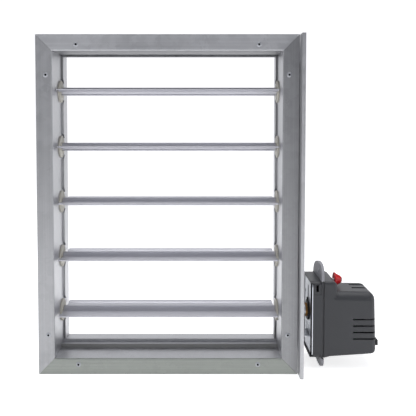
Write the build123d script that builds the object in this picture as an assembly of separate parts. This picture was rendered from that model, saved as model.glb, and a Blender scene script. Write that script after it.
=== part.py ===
from build123d import *
import math
import os

os.makedirs("parts", exist_ok=True)

# Volume control damper: a mitred channel frame, five opposed blades turned by a gear train,
# and a rotary actuator on the lowest shaft. Millimetres. The origin is the centre of the duct
# opening at mid depth. +X points to the actuator, +Y along the duct, +Z up.

# ---- driving dimensions -------------------------------------------------------------------
OPEN_W = 376.0          # clear width of the duct opening
BLADE_COUNT = 5
PITCH = 95.0            # distance between neighbouring blade axes
END_GAP = 64.0          # first and last axis to the duct floor and ceiling
DEPTH = 125.0           # frame depth along the duct
FLANGE = 27.0           # out-turned flange, measured from the opening
SHEET = 1.5             # frame sheet thickness
BEND_R = 2.0            # outside radius of the folds at the flanges
MITRE_GAP = 0.15        # each member's share of the mitre joint
RIB_H = 3.2             # low rib round the inside of the duct
RIB_Y0 = 10.5           # front face of the rib
RIB_Y1 = 20.5           # back face of the rib
RIB_CLEAR_R = 24.5      # the rib is milled away round each bush

RUN = 0.05              # radial clearance of a turning fit
PRESS = 0.03            # radial clearance of a held fit
GAP = 0.3               # clearance of faces that must not touch

SHAFT_R = 5.0
FLAT_AT = 4.0           # the flat on the shaft's drive end
TUBE_R = 7.0            # blade spine, outside
PLATE_T = 1.8           # blade plate thickness
BLADE_LAP = 7.0         # how far neighbouring blades lap when closed
JOGGLE = 2.0            # offset of both edges, so that opposed blades lap
JOG_LAND = 13.0         # width of the offset edge
JOG_RAMP = 4.0
SPINE_FILLET = 3.5      # web between spine and plate
BLADE_END = 4.0         # blade end to duct wall

BUSH_FLANGE_R = 19.0
BUSH_FLANGE_T = 3.0
BUSH_R = 8.0
BUSH_CHAMFER = 0.8
BUSH_OUT = 3.0          # sleeve standing out of the web

GEAR_TEETH = 20
GEAR_W = 9.0
GEAR_OFF = 8.5          # duct wall to gears
GEAR_BACKLASH = 0.6
PRESSURE = 20.0         # degrees

COVER_GAP = 1.0         # flange edge to side cover
COVER_T = 1.5
COVER_REACH = 22.0      # cover standing past each flange
COVER_LIP = 6.0
COVER_HOLE_R = 14.0
STANDOFF_R = 5.0
STANDOFF_INSET = 14.5   # standoffs from the flange planes
SPIGOT_R = 3.0
M5_R = 2.5
M5_HEAD_R = 4.8

RIVET_INSET = 66.0      # outer corner to rivet, along the flange
RIVET_FACE = 10.5       # opening edge to rivet, across the flange
RIVET_R = 2.0
RIVET_HEAD_R = 4.1
RIVET_HEAD_H = 1.3
MANDREL_R = 1.3
BRACKET_LEG = 84.0
BRACKET_W = 22.0
BRACKET_T = 2.0

SILL_RIVET_STEP = 0.213 # spacing of the sill rivets as a share of the opening
SILL_Y0 = -10.5         # front face of the sill
SILL_Y1 = 4.0           # front face of its back lip
SILL_H1 = 6.3
SILL_H2 = 10.3
SILL_T = 1.2
SEAL_T = 1.5

ACT_OFF = 22.5          # side cover to the actuator's rim
ACT_BASE_T = 23.0       # base, from its rim to the joint with the cover
ACT_COVER_T = 89.0      # cover, from that joint to its far face
ACT_HALF = 42.0         # half width along the duct
ACT_UP = 59.0           # base above the shaft
ACT_DOWN = 72.5         # base below the shaft
ACT_STEP = 40.5         # top of the cover's deep part above the shaft
ACT_FOOT = 64.5         # bottom of the cover's deep part below the shaft
ACT_WALL = 2.4
RIM_DEPTH = 4.0
EAR_UP = 28.0           # upper ear above the body
EAR_DOWN = 18.0         # lower ear below the body
EAR_T = 4.8
EAR_PEAK_Y = -15.0      # the ears peak off centre, towards the front flange
EAR_HOLE_R = 3.0
HUB_R = 10.0
KNOB_UP = 53.0          # knob axis above the shaft
KNOB_R = 12.0
SPINDLE_R = 2.5
PINION_TEETH = 12
ACT_GEAR_TEETH = 48
ACT_MODULE = 1.25
ACT_GEAR_OFF = 9.0      # rim to output gear
ACT_GEAR_W = 6.0
MOTOR_R = 15.0
MOTOR_L = 40.0
PINION_SHAFT_R = 2.0
BRACKET_DROP = 50.0     # strap's foot below the shaft
BRACKET_SCREW_Y = 12.0
VENT_STEP = 11.1
VENT_HALF = 1.1
ACT_SCREW_R = 1.6
LATCH_PIN_R = 2.0
LATCH_DROP = 35.0

# ---- sizes that follow --------------------------------------------------------------------
HALF_W = OPEN_W / 2
HALF_H = END_GAP + PITCH * (BLADE_COUNT - 1) / 2
HALF_D = DEPTH / 2
OUT_X = HALF_W + FLANGE
OUT_Z = HALF_H + FLANGE
AXES_Z = [HALF_H - END_GAP - PITCH * i for i in range(BLADE_COUNT)]
DRIVE_Z = AXES_Z[-1]
COVER_X0 = OUT_X + COVER_GAP
COVER_X1 = COVER_X0 + COVER_T
STANDOFF_ZS = [PITCH * k for k in (-2.5, -0.5, 0.5, 2.5)]
STANDOFF_Y = HALF_D - STANDOFF_INSET
BLADE_X = HALF_W - BLADE_END
BLADE_R = (PITCH + BLADE_LAP) / 2
JOG_Y1 = BLADE_R - JOG_LAND
JOG_Y0 = JOG_Y1 - JOG_RAMP
SILL_RIVET_XS = [OPEN_W * SILL_RIVET_STEP * k for k in (-1.5, -0.5, 0.5, 1.5)]
SILL_RIVET_Y = SILL_Y0 + 7.0
GEAR_X = HALF_W + SHEET + GEAR_OFF
MODULE = PITCH / GEAR_TEETH
ACT_X = COVER_X1 + ACT_OFF
ACT_PLATE_X = ACT_X + RIM_DEPTH
ACT_SPLIT = ACT_X + ACT_BASE_T
ACT_END = ACT_SPLIT + ACT_COVER_T
ACT_GEAR_X = ACT_X + ACT_GEAR_OFF
EAR_X0 = ACT_SPLIT - EAR_T
MOTOR_X = ACT_SPLIT - 3.0
SHAFT_END_X = GEAR_X + GEAR_W + 4.0
DRIVE_END_X = ACT_GEAR_X + ACT_GEAR_W + 4.0
SHAFT_START_X = -HALF_W - SHEET - BUSH_OUT - 1.0
PINION_Z = DRIVE_Z - ACT_MODULE * (PINION_TEETH + ACT_GEAR_TEETH) / 2
ACT_TOP = DRIVE_Z + ACT_UP
ACT_BOTTOM = DRIVE_Z - ACT_DOWN
BRACKET_Z = DRIVE_Z - BRACKET_DROP
LATCH_Z = DRIVE_Z - LATCH_DROP
BRACKET_SCREW_YS = (-BRACKET_SCREW_Y, BRACKET_SCREW_Y)


def save(shape, name, colour):
    shape.label = name
    shape.color = Color(*colour)
    export_step(shape, "parts/" + name + ".step")


def block(x0, x1, y0, y1, z0, z1):
    size = Box(x1 - x0, y1 - y0, z1 - z0)
    return Pos((x0 + x1) / 2, (y0 + y1) / 2, (z0 + z1) / 2) * size


def rod(x0, x1, radius, y=0.0, z=0.0):
    bar = Cylinder(radius, x1 - x0)
    return Pos((x0 + x1) / 2, y, z) * Rot(0, 90, 0) * bar


def rod_y(y0, y1, radius, x=0.0, z=0.0):
    bar = Cylinder(radius, y1 - y0)
    return Pos(x, (y0 + y1) / 2, z) * Rot(90, 0, 0) * bar


def rod_z(z0, z1, radius, x=0.0, y=0.0):
    bar = Cylinder(radius, z1 - z0)
    return Pos(x, y, (z0 + z1) / 2) * bar


def along_x(points, x0, x1):
    face = Plane.YZ.offset(x0) * Polygon(*points, align=None)
    return extrude(face, amount=x1 - x0, dir=(1, 0, 0))


def along_y(points, y0, y1):
    face = Plane.XZ.offset(-y1) * Polygon(*points, align=None)
    return extrude(face, amount=y1 - y0, dir=(0, -1, 0))


def group(shapes):
    return Compound(children=list(shapes))


# ---- frame --------------------------------------------------------------------------------
def member_profile():
    # Section of one channel in (depth, outward) coordinates; the duct is at outward < 0.
    d = HALF_D
    t = SHEET
    r = BEND_R
    slope = RIB_H * 0.35
    fold = []
    for i in range(5):
        a = math.pi / 2 * i / 4
        fold.append((d - r + r * math.sin(a), r - r * math.cos(a)))
    front = [(-y, out) for y, out in reversed(fold)]
    rib = [(RIB_Y0, 0), (RIB_Y0, -RIB_H), (RIB_Y1 - slope, -RIB_H), (RIB_Y1, 0)]
    back = [(d, FLANGE), (d - t, FLANGE), (d - t, t), (-d + t, t), (-d + t, FLANGE), (-d, FLANGE)]
    return front + rib + fold + back


def mitre_blank(half_length, offset):
    # Trapezium that keeps one member's share of the two mitred corners.
    inner = half_length - RIB_H - MITRE_GAP
    outer = half_length + FLANGE - MITRE_GAP
    pts = [(-inner, offset + RIB_H), (inner, offset + RIB_H), (outer, offset - FLANGE)]
    pts.append((-outer, offset - FLANGE))
    return along_y(pts, -HALF_D - 1, HALF_D + 1)


def floor_member():
    pts = [(y, -HALF_H - out) for y, out in member_profile()]
    bar = along_x(pts, -OUT_X, OUT_X)
    return bar & mitre_blank(HALF_W, -HALF_H)


def wall_member():
    # The left wall, made lying down as a floor and turned up, with its holes.
    pts = [(y, -HALF_W - out) for y, out in member_profile()]
    bar = along_x(pts, -OUT_Z, OUT_Z) & mitre_blank(HALF_H, -HALF_W)
    wall = Rot(0, 90, 0) * bar
    for z in AXES_Z:
        wall -= rod(-HALF_W - 0.001, 0, RIB_CLEAR_R, z=z)
        wall -= rod(-OUT_X, 0, BUSH_R + PRESS, z=z)
    return wall


def rivet_places():
    # (x, z) of the eight rivets of one flange plane.
    x_far = OUT_X - RIVET_INSET
    z_far = OUT_Z - RIVET_INSET
    x_side = HALF_W + RIVET_FACE
    z_end = HALF_H + RIVET_FACE
    places = []
    for sx in (-1, 1):
        for sz in (-1, 1):
            places.append((sx * x_far, sz * z_end))
            places.append((sx * x_side, sz * z_far))
    return places


def with_rivet_holes(member):
    for x, z in rivet_places():
        member -= rod_y(-HALF_D - 1, HALF_D + 1, RIVET_R + PRESS, x=x, z=z)
    return member


def make_frame():
    floor = floor_member()
    for x in SILL_RIVET_XS:
        floor -= rod_z(-HALF_H - 5, -HALF_H, RIVET_R + PRESS, x=x, y=SILL_RIVET_Y)
    ceiling = Rot(0, 0, 180) * Rot(180, 0, 0) * floor_member()
    left = wall_member()
    right = Rot(0, 0, 180) * wall_member()
    right = mirror_depth(right)
    for y in (-STANDOFF_Y, STANDOFF_Y):
        for z in STANDOFF_ZS:
            right -= rod(0, OUT_X, SPIGOT_R + PRESS, y=y, z=z)
    save(with_rivet_holes(floor), "frame_bottom", GALV)
    save(with_rivet_holes(ceiling), "frame_top", GALV)
    save(with_rivet_holes(left), "frame_left", GALV)
    save(with_rivet_holes(right), "frame_right", GALV)


def mirror_depth(shape):
    return mirror(shape, about=Plane.XZ)


def corner_plate(sx, sz, y0, y1):
    # L-shaped plate lying on the inside of a flange across one mitre.
    lo_x = HALF_W + SHEET + GAP
    lo_z = HALF_H + SHEET + GAP
    hi_x = lo_x + BRACKET_W
    hi_z = lo_z + BRACKET_W
    pts = [
        (hi_x, hi_z), (hi_x - BRACKET_LEG, hi_z), (hi_x - BRACKET_LEG, lo_z),
        (lo_x, lo_z), (lo_x, hi_z - BRACKET_LEG), (hi_x, hi_z - BRACKET_LEG),
    ]
    return along_y([(sx * x, sz * z) for x, z in pts], y0, y1)


def make_corners(side, name):
    face = side * (HALF_D - SHEET)
    y0 = min(face, face - side * BRACKET_T)
    y1 = max(face, face - side * BRACKET_T)
    plates = []
    for sx in (-1, 1):
        for sz in (-1, 1):
            plate = corner_plate(sx, sz, y0, y1)
            for x, z in rivet_places():
                plate -= rod_y(y0 - 1, y1 + 1, RIVET_R + PRESS, x=x, z=z)
            plates.append(plate)
    save(group(plates), name, ZINC)


def rivet(reach):
    # Pop rivet pointing along +Z from a face at z = 0; the head stands at z < 0.
    pts = [(MANDREL_R, -RIVET_HEAD_H * 0.75), (2.2, -RIVET_HEAD_H), (3.4, -0.9)]
    pts.append((RIVET_HEAD_R, -0.3))
    pts += [(RIVET_HEAD_R, 0), (RIVET_R, 0), (RIVET_R, reach), (RIVET_R + 1.0, reach)]
    pts += [(RIVET_R + 0.8, reach + 2.4), (0, reach + 3.4), (0, 0.6), (MANDREL_R, 0.6)]
    face = Plane.XZ * Polygon(*pts, align=None)
    return revolve(face, Axis.Z)


def make_rivets(side, name):
    reach = SHEET + BRACKET_T
    one = rivet(reach)
    turned = Rot(-90, 0, 0) * one if side < 0 else Rot(90, 0, 0) * one
    save(group([Pos(x, side * HALF_D, z) * turned for x, z in rivet_places()]), name, ZINC)


def make_sill():
    z = -HALF_H
    t = SILL_T
    pts = [
        (SILL_Y0 + 10, z), (SILL_Y0, z), (SILL_Y0, z + SILL_H1), (SILL_Y1, z + SILL_H1),
        (SILL_Y1, z + SILL_H2), (SILL_Y1 + t, z + SILL_H2), (SILL_Y1 + t, z + SILL_H1 - t),
        (SILL_Y0 + t, z + SILL_H1 - t), (SILL_Y0 + t, z + t), (SILL_Y0 + 10, z + t),
    ]
    sill = along_x(pts, -HALF_W + GAP, HALF_W - GAP)
    for x in SILL_RIVET_XS:
        sill -= rod_z(z - 1, z + t + 0.5, RIVET_R + PRESS, x=x, y=SILL_RIVET_Y)
    save(sill, "sill", GALV)
    seal = block(-HALF_W + GAP, HALF_W - GAP, SILL_Y0 - SEAL_T, SILL_Y0, z, z + SILL_H1)
    save(seal, "sill_seal", DARK)
    heads = []
    for x in SILL_RIVET_XS:
        body = rod_z(z - SHEET - RIVET_HEAD_H, z - SHEET, RIVET_HEAD_R, x=x, y=SILL_RIVET_Y)
        body += rod_z(z - SHEET, z + t, RIVET_R, x=x, y=SILL_RIVET_Y)
        body += rod_z(z + t, z + t + 1.6, RIVET_R + 0.9, x=x, y=SILL_RIVET_Y)
        heads.append(body)
    save(group(heads), "sill_rivets", ZINC)


# ---- blades, shafts and bushes ------------------------------------------------------------
def plate_points(side):
    # One wing of the blade, from inside the spine to its joggled edge.
    h = PLATE_T / 2
    root = TUBE_R - 1.2
    web = TUBE_R + SPINE_FILLET
    pts = [
        (root, -h - 2.4), (web - 2.0, -h - 0.9), (web, -h), (JOG_Y0, -h),
        (JOG_Y1, JOGGLE - h), (BLADE_R - 0.5, JOGGLE - h),
        (BLADE_R, JOGGLE - h + 0.5), (BLADE_R, JOGGLE + h - 0.5), (BLADE_R - 0.5, JOGGLE + h),
        (JOG_Y1, JOGGLE + h), (JOG_Y0, h), (web, h), (web - 2.0, h + 0.9), (root, h + 2.4),
    ]
    return [(side * y, z) for y, z in pts]


def make_blade(index, z):
    spine = rod(-BLADE_X, BLADE_X, TUBE_R)
    spine += along_x(plate_points(1), -BLADE_X, BLADE_X)
    spine += along_x(plate_points(-1), -BLADE_X, BLADE_X)
    spine -= rod(-BLADE_X - 1, BLADE_X + 1, SHAFT_R + PRESS)
    save(Pos(0, 0, z) * spine, "blade_%d" % index, ALU)


def make_shaft(index, z):
    end = DRIVE_END_X if z == DRIVE_Z else SHAFT_END_X
    shaft = rod(SHAFT_START_X, end, SHAFT_R)
    shaft -= block(GEAR_X - 2, end + 1, -9, 9, FLAT_AT, 9)
    save(Pos(0, 0, z) * shaft, "shaft_%d" % index, ZINC)


def make_bushes(side, name):
    bushes = []
    for z in AXES_Z:
        x_wall = HALF_W
        bush = rod(x_wall - BUSH_FLANGE_T, x_wall, BUSH_FLANGE_R)
        bush = chamfer(bush.edges().group_by(Axis.X)[0], BUSH_CHAMFER)
        bush += rod(x_wall, x_wall + SHEET + BUSH_OUT, BUSH_R)
        bush -= rod(x_wall - 9, x_wall + 9, SHAFT_R + RUN)
        if side < 0:
            bush = Rot(0, 0, 180) * bush
        bushes.append(Pos(0, 0, z) * bush)
    save(group(bushes), name, NYLON)


# ---- gears --------------------------------------------------------------------------------
def involute(angle):
    return math.tan(angle) - angle


def gear_outline(module, teeth, addendum, dedendum, backlash, steps=4):
    # Involute teeth, one centred on the first axis; the root is a straight chord.
    pitch_r = module * teeth / 2
    press = math.radians(PRESSURE)
    base_r = pitch_r * math.cos(press)
    tip_r = pitch_r + addendum
    root_r = pitch_r - dedendum
    half = math.pi / (2 * teeth) - backlash / (4 * pitch_r)
    start_r = max(base_r, root_r)
    flank = []
    for i in range(steps + 1):
        r = start_r + (tip_r - start_r) * i / steps
        a = half + involute(press) - involute(math.acos(min(1.0, base_r / r)))
        flank.append((r, a))
    if root_r < base_r:
        flank.insert(0, (root_r, flank[0][1]))
    pts = []
    for k in range(teeth):
        centre = 2 * math.pi * k / teeth
        rising = [(r, centre - a) for r, a in flank]
        falling = [(r, centre + a) for r, a in reversed(flank)]
        pts += [(r * math.cos(a), r * math.sin(a)) for r, a in rising + falling]
    return pts


def d_bore(x0, x1):
    bore = rod(x0, x1, SHAFT_R + PRESS)
    return bore - block(x0 - 1, x1 + 1, -9, 9, FLAT_AT + PRESS, 9)


def make_gear(index, z):
    # Odd gears have a tooth straight up and down, even gears a space, so they mesh at rest.
    x1 = GEAR_X + GEAR_W
    turn = 90.0 if index % 2 else 90.0 + 180.0 / GEAR_TEETH
    pts = gear_outline(MODULE, GEAR_TEETH, 0.95 * MODULE, 1.2 * MODULE, GEAR_BACKLASH)
    gear = Rot(turn, 0, 0) * along_x(pts, GEAR_X, x1)
    rim_r = MODULE * GEAR_TEETH / 2 - 1.2 * MODULE - 5.0
    web = rod(GEAR_X - 1, GEAR_X + 2.5, rim_r) - rod(GEAR_X - 1, GEAR_X + 2.5, 14.0)
    gear -= web
    gear -= Pos(GEAR_W - 1.5, 0, 0) * web
    for k in range(6):
        a = math.radians(60 * k + 30)
        gear -= rod(GEAR_X - 1, x1 + 1, 7.0, y=25 * math.cos(a), z=25 * math.sin(a))
    gear += rod(x1, x1 + 2.5, 14.0) + rod(GEAR_X - 2.0, GEAR_X, 14.0)
    gear -= d_bore(GEAR_X - 3, x1 + 3)
    save(Pos(0, 0, z) * gear, "gear_%d" % index, NYLON)


# ---- side cover ---------------------------------------------------------------------------
def make_side_cover():
    y = HALF_D + COVER_REACH
    plate = block(COVER_X0, COVER_X1, -y, y, -OUT_Z, OUT_Z)
    for s in (-1, 1):
        y0 = min(s * y, s * (y - COVER_T))
        y1 = max(s * y, s * (y - COVER_T))
        plate += block(COVER_X0, COVER_X0 + COVER_LIP, y0, y1, -OUT_Z, OUT_Z)
    plate -= rod(COVER_X0 - 1, COVER_X1 + 1, COVER_HOLE_R, z=DRIVE_Z)
    for sy in (-1, 1):
        for z in STANDOFF_ZS:
            hole = rod(COVER_X0 - 1, COVER_X1 + 1, M5_R + 0.2, y=sy * STANDOFF_Y, z=z)
            plate -= hole
    for y in BRACKET_SCREW_YS:
        plate -= rod(COVER_X0 - 1, COVER_X1 + 1, M5_R + PRESS, y=y, z=BRACKET_Z)
    save(plate, "side_cover", GALV)


def make_standoffs():
    posts = []
    screws = []
    for sy in (-1, 1):
        for z in STANDOFF_ZS:
            y = sy * STANDOFF_Y
            post = rod(HALF_W + SHEET, COVER_X0, STANDOFF_R, y=y, z=z)
            post += rod(HALF_W, HALF_W + SHEET, SPIGOT_R, y=y, z=z)
            post -= rod(COVER_X0 - 12, COVER_X0 + 1, M5_R + PRESS, y=y, z=z)
            posts.append(post)
            screws.append(pan_screw(COVER_X1, 11.0 + COVER_T, y, z))
    save(group(posts), "cover_standoffs", ZINC)
    save(group(screws), "cover_screws", ZINC)


def pan_screw(x_face, length, y, z):
    head = rod(x_face, x_face + 2.8, M5_HEAD_R, y=y, z=z)
    head = chamfer(head.edges().group_by(Axis.X)[-1], 1.2)
    return head + rod(x_face - length, x_face, M5_R, y=y, z=z)


# ---- actuator -----------------------------------------------------------------------------
def ear_points(sign, z_edge, height):
    # Rounded ear: a long slope to the rear, a full corner to the front.
    rear = ACT_HALF - EAR_PEAK_Y
    front = ACT_HALF + EAR_PEAK_Y
    pts = [(ACT_HALF, z_edge - sign * 4)]
    for i in range(9):
        a = math.pi / 2 * i / 8
        pts.append((EAR_PEAK_Y + rear * math.cos(a), z_edge + sign * height * math.sin(a)))
    for i in range(1, 9):
        a = math.pi / 2 * i / 8
        y = EAR_PEAK_Y - front * math.sin(a) ** 0.7
        pts.append((y, z_edge + sign * height * math.cos(a) ** 0.7))
    pts.append((-ACT_HALF, z_edge - sign * 4))
    return pts


def make_act_base():
    t = 3.0
    h = ACT_HALF
    body = block(ACT_X, ACT_SPLIT, -h, h, ACT_BOTTOM, ACT_TOP)
    body = fillet(body.edges().filter_by(Axis.X), 5.0)
    rim = block(ACT_X - 1, ACT_PLATE_X, -h + t, h - t, ACT_BOTTOM + t, ACT_TOP - t)
    tray = block(ACT_PLATE_X + 3, ACT_SPLIT + 1, -h + t, h - t, ACT_BOTTOM + t, ACT_TOP - t)
    body += along_x(ear_points(1, ACT_TOP, EAR_UP), EAR_X0, ACT_SPLIT)
    body += along_x(ear_points(-1, ACT_BOTTOM, EAR_DOWN), EAR_X0, ACT_SPLIT)
    body -= rim
    body -= tray
    body -= rod(ACT_X, ACT_SPLIT, HUB_R + 1.0, z=DRIVE_Z)
    body -= rod(ACT_X, ACT_SPLIT, PINION_SHAFT_R + RUN, z=PINION_Z)
    window = block(ACT_X + 9.5, ACT_X + 13.5, -h - 1, -h + t + 1, ACT_TOP - 17, ACT_TOP - 6)
    body -= window
    for z in (ACT_TOP + EAR_UP * 0.45, ACT_BOTTOM - EAR_DOWN * 0.45):
        body -= rod(EAR_X0 - 1, ACT_SPLIT + 1, EAR_HOLE_R, y=EAR_PEAK_Y, z=z)
    for y, z in act_screw_places():
        body += rod(ACT_PLATE_X + 2, ACT_SPLIT, 4.0, y=y, z=z)
        body -= rod(ACT_X, ACT_SPLIT + 1, ACT_SCREW_R, y=y, z=z)
    save(body, "act_base", PLASTIC)


def act_screw_places():
    # (y, z) of the four screws through plate, base and motor strap.
    y = ACT_HALF - 9.0
    return [(s * y, DRIVE_Z + up) for s in (-1, 1) for up in (25.0, -55.0)]


def make_act_plate():
    x1 = ACT_PLATE_X
    x0 = x1 - 1.6
    plate = block(x0, x1, -ACT_HALF + 4, ACT_HALF - 4, ACT_BOTTOM + 4, ACT_TOP - 4)
    plate -= rod(x0 - 1, x1 + 1, HUB_R + 1.0, z=DRIVE_Z)
    plate -= block(x0 - 1, x1 + 1, -5, 5, DRIVE_Z + 20, DRIVE_Z + 44)
    plate -= block(x0 - 1, x1 + 1, -14, -6, DRIVE_Z - 45, DRIVE_Z - 24)
    plate -= block(x0 - 1, x1 + 1, 6, 14, DRIVE_Z - 45, DRIVE_Z - 24)
    plate -= rod(x0 - 1, x1 + 1, 4.0, z=PINION_Z)
    for y, z in act_screw_places():
        plate -= rod(x0 - 1, x1 + 1, ACT_SCREW_R + PRESS, y=y, z=z)
    save(plate, "act_plate", ZINC)


def cover_body(inset, edge_r, corner_r):
    # The cover's outside, or with an inset the hollow inside it; seen along the duct.
    i = inset
    step = DRIVE_Z + ACT_STEP - i
    foot = DRIVE_Z - ACT_FOOT + i
    far = ACT_END - i
    x0 = ACT_SPLIT if i == 0 else ACT_SPLIT - 1
    shoulder = ACT_SPLIT + 23.0 - i
    deep = [(x0, ACT_BOTTOM + i), (ACT_SPLIT + 22, foot - 2.5), (far - 2, foot)]
    deep += [(far, (step + foot) / 2), (far - 2, step - 1), (shoulder, step)]
    top = ACT_TOP - i
    for k in range(7):
        a = math.pi / 2 * k / 6
        deep.append((shoulder - 11 + 11 * math.cos(a), top - 11 + 11 * math.sin(a)))
    deep.append((x0, top))
    half = ACT_HALF - i
    body = along_y(deep, -half, half)
    corners = [e for e in body.edges().filter_by(Axis.Y) if e.center().X > ACT_END - 8]
    corners = [e for e in corners if abs(e.center().Z - (step + foot) / 2) > 20]
    body = fillet(corners, corner_r)
    rounding = block(x0 - 1, far + 5, -half, half, ACT_BOTTOM - 30, ACT_TOP + 30)
    rounding = fillet(rounding.edges().filter_by(Axis.Z).group_by(Axis.X)[-1], edge_r)
    body = body & rounding
    deep_box = block(shoulder, far + 5, -half, half, foot - 30, step)
    keep = fillet(deep_box.edges().filter_by(Axis.X).group_by(Axis.Z)[-1], edge_r)
    keep += block(x0 - 1, shoulder, -half, half, ACT_BOTTOM - 30, ACT_TOP + 30)
    body = body & keep
    low = block(x0 - 1, far + 5, -half, half, ACT_BOTTOM + i, ACT_TOP - i)
    low = fillet(low.edges().filter_by(Axis.X), 5.0)
    return body & low


def make_act_cover():
    cover = cover_body(0, 10.0, 12.0) - cover_body(ACT_WALL, 8.0, 10.0)
    for k in range(4):
        z = DRIVE_Z - 5.4 - VENT_STEP * k
        lo = z - VENT_HALF
        hi = z + VENT_HALF
        cover -= block(ACT_END - 40, ACT_END - 3, -ACT_HALF - 1, -ACT_HALF + 4, lo, hi)
        cover -= block(ACT_END - 40, ACT_END - 3, ACT_HALF - 4, ACT_HALF + 1, lo, hi)
    top = DRIVE_Z + ACT_STEP
    for y in (5.0, 27.0):
        cover -= block(ACT_END - 34, ACT_END - 6, y - VENT_HALF, y + VENT_HALF, top - 4, top + 1)
    cover -= rod(ACT_SPLIT + 10, ACT_SPLIT + 30, SPINDLE_R + RUN, z=DRIVE_Z + KNOB_UP)
    cover -= rod(ACT_END - 10, ACT_END + 2, LATCH_PIN_R + PRESS, z=LATCH_Z)
    save(cover, "act_cover", PLASTIC)


def make_act_small_parts():
    z = LATCH_Z
    latch = block(ACT_END + 0.1, ACT_END + 3.5, -5, 5, z - 4.5, z + 4.5)
    latch += rod(ACT_END - 6, ACT_END + 0.1, LATCH_PIN_R, z=z)
    save(latch, "act_latch", DARK)

    hub = rod(COVER_X0 - 2, ACT_GEAR_X - 0.5, HUB_R, z=DRIVE_Z)
    hub -= Pos(0, 0, DRIVE_Z) * d_bore(COVER_X0 - 3, ACT_GEAR_X)
    save(hub, "act_hub", ZINC)
    ring_x = ACT_X - 3.2
    mark_x = ACT_X + 0.2
    mark_end = ACT_PLATE_X - 1.9
    hole = rod(ring_x - 1, mark_end + 1, HUB_R + PRESS, z=DRIVE_Z)
    ring = rod(ring_x, mark_x, 11.5, z=DRIVE_Z)
    save(ring - hole, "act_bush", BRONZE)
    mark = rod(mark_x, mark_end, 17.5, z=DRIVE_Z)
    mark += block(mark_x, mark_end, -3.5, 3.5, DRIVE_Z + 17, DRIVE_Z + 21.5)
    save(mark - hole, "act_indicator", DARK)

    pts = gear_outline(ACT_MODULE, ACT_GEAR_TEETH, ACT_MODULE * 0.95, ACT_MODULE * 1.2, 0.2, 2)
    wheel = Rot(90, 0, 0) * along_x(pts, ACT_GEAR_X, ACT_GEAR_X + ACT_GEAR_W)
    wheel -= d_bore(ACT_GEAR_X - 1, ACT_GEAR_X + ACT_GEAR_W + 1)
    save(Pos(0, 0, DRIVE_Z) * wheel, "act_gear", NYLON)
    turn = 90 + 180 / PINION_TEETH
    pts = gear_outline(ACT_MODULE, PINION_TEETH, ACT_MODULE * 0.95, ACT_MODULE * 1.2, 0.2, 2)
    pinion = Rot(turn, 0, 0) * along_x(pts, ACT_GEAR_X, ACT_GEAR_X + ACT_GEAR_W)
    pinion += rod(ACT_PLATE_X + 0.2, MOTOR_X + 8.0, PINION_SHAFT_R)
    save(Pos(0, 0, PINION_Z) * pinion, "act_pinion", BRONZE)

    motor = rod(MOTOR_X, MOTOR_X + MOTOR_L, MOTOR_R, z=PINION_Z)
    motor = chamfer(motor.edges().group_by(Axis.X)[-1], 2.0)
    motor += motor_mount()
    motor -= rod(MOTOR_X - 1, MOTOR_X + 8.6, PINION_SHAFT_R + RUN, z=PINION_Z)
    save(motor, "act_motor", ZINC)


def motor_mount():
    # Strap from the motor to the four screw bosses of the base.
    h = ACT_HALF - 4.0
    strap = block(ACT_SPLIT, ACT_SPLIT + 1.5, -h, h, DRIVE_Z - 60, DRIVE_Z - 12)
    strap += block(ACT_SPLIT, ACT_SPLIT + 1.5, -h, -h + 10, DRIVE_Z - 12, DRIVE_Z + 30)
    strap += block(ACT_SPLIT, ACT_SPLIT + 1.5, h - 10, h, DRIVE_Z - 12, DRIVE_Z + 30)
    strap -= rod(ACT_SPLIT - 1, ACT_SPLIT + 3, SHAFT_R + 3, z=DRIVE_Z)
    for y, z in act_screw_places():
        strap -= rod(ACT_SPLIT - 1, ACT_SPLIT + 3, ACT_SCREW_R + PRESS, y=y, z=z)
    return strap


def make_act_board():
    x = ACT_SPLIT + 55.0
    half = ACT_HALF - 10.0
    post_y = half - 4.0
    board = block(x, x + 1.6, -half, half, DRIVE_Z - 52, DRIVE_Z + 28)
    for sy in (-1, 1):
        board -= rod(x - 1, x + 3, 1.5 + PRESS, y=sy * post_y, z=DRIVE_Z - 48)
        board -= rod(x - 1, x + 3, 1.5 + PRESS, y=sy * post_y, z=DRIVE_Z + 24)
    board += block(x - 10, x, -20, 20, DRIVE_Z + 4, DRIVE_Z + 16)
    board += block(x + 1.6, x + 9, -12, 12, DRIVE_Z - 10, DRIVE_Z + 2)
    board += rod(x + 1.6, x + 14, 5.0, y=20, z=DRIVE_Z - 30)
    save(board, "act_board", BOARD)
    posts = []
    for sy in (-1, 1):
        for z in (DRIVE_Z - 48, DRIVE_Z + 24):
            post = rod(ACT_SPLIT + 1.5, x, 3.0, y=sy * post_y, z=z)
            post += rod(x, x + 3.0, 1.5, y=sy * post_y, z=z)
            posts.append(post)
    save(group(posts), "act_board_posts", ZINC)


def make_act_screws():
    # Screws from the near side through plate and base into the motor strap.
    screws = []
    x1 = ACT_PLATE_X - 1.6
    for y, z in act_screw_places():
        screw = rod(x1 - 1.8, x1, 3.0, y=y, z=z)
        screw = chamfer(screw.edges().group_by(Axis.X)[0], 0.8)
        screw += rod(x1, ACT_SPLIT + 1.5, ACT_SCREW_R - PRESS, y=y, z=z)
        screws.append(screw)
    save(group(screws), "act_screws", ZINC)


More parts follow.
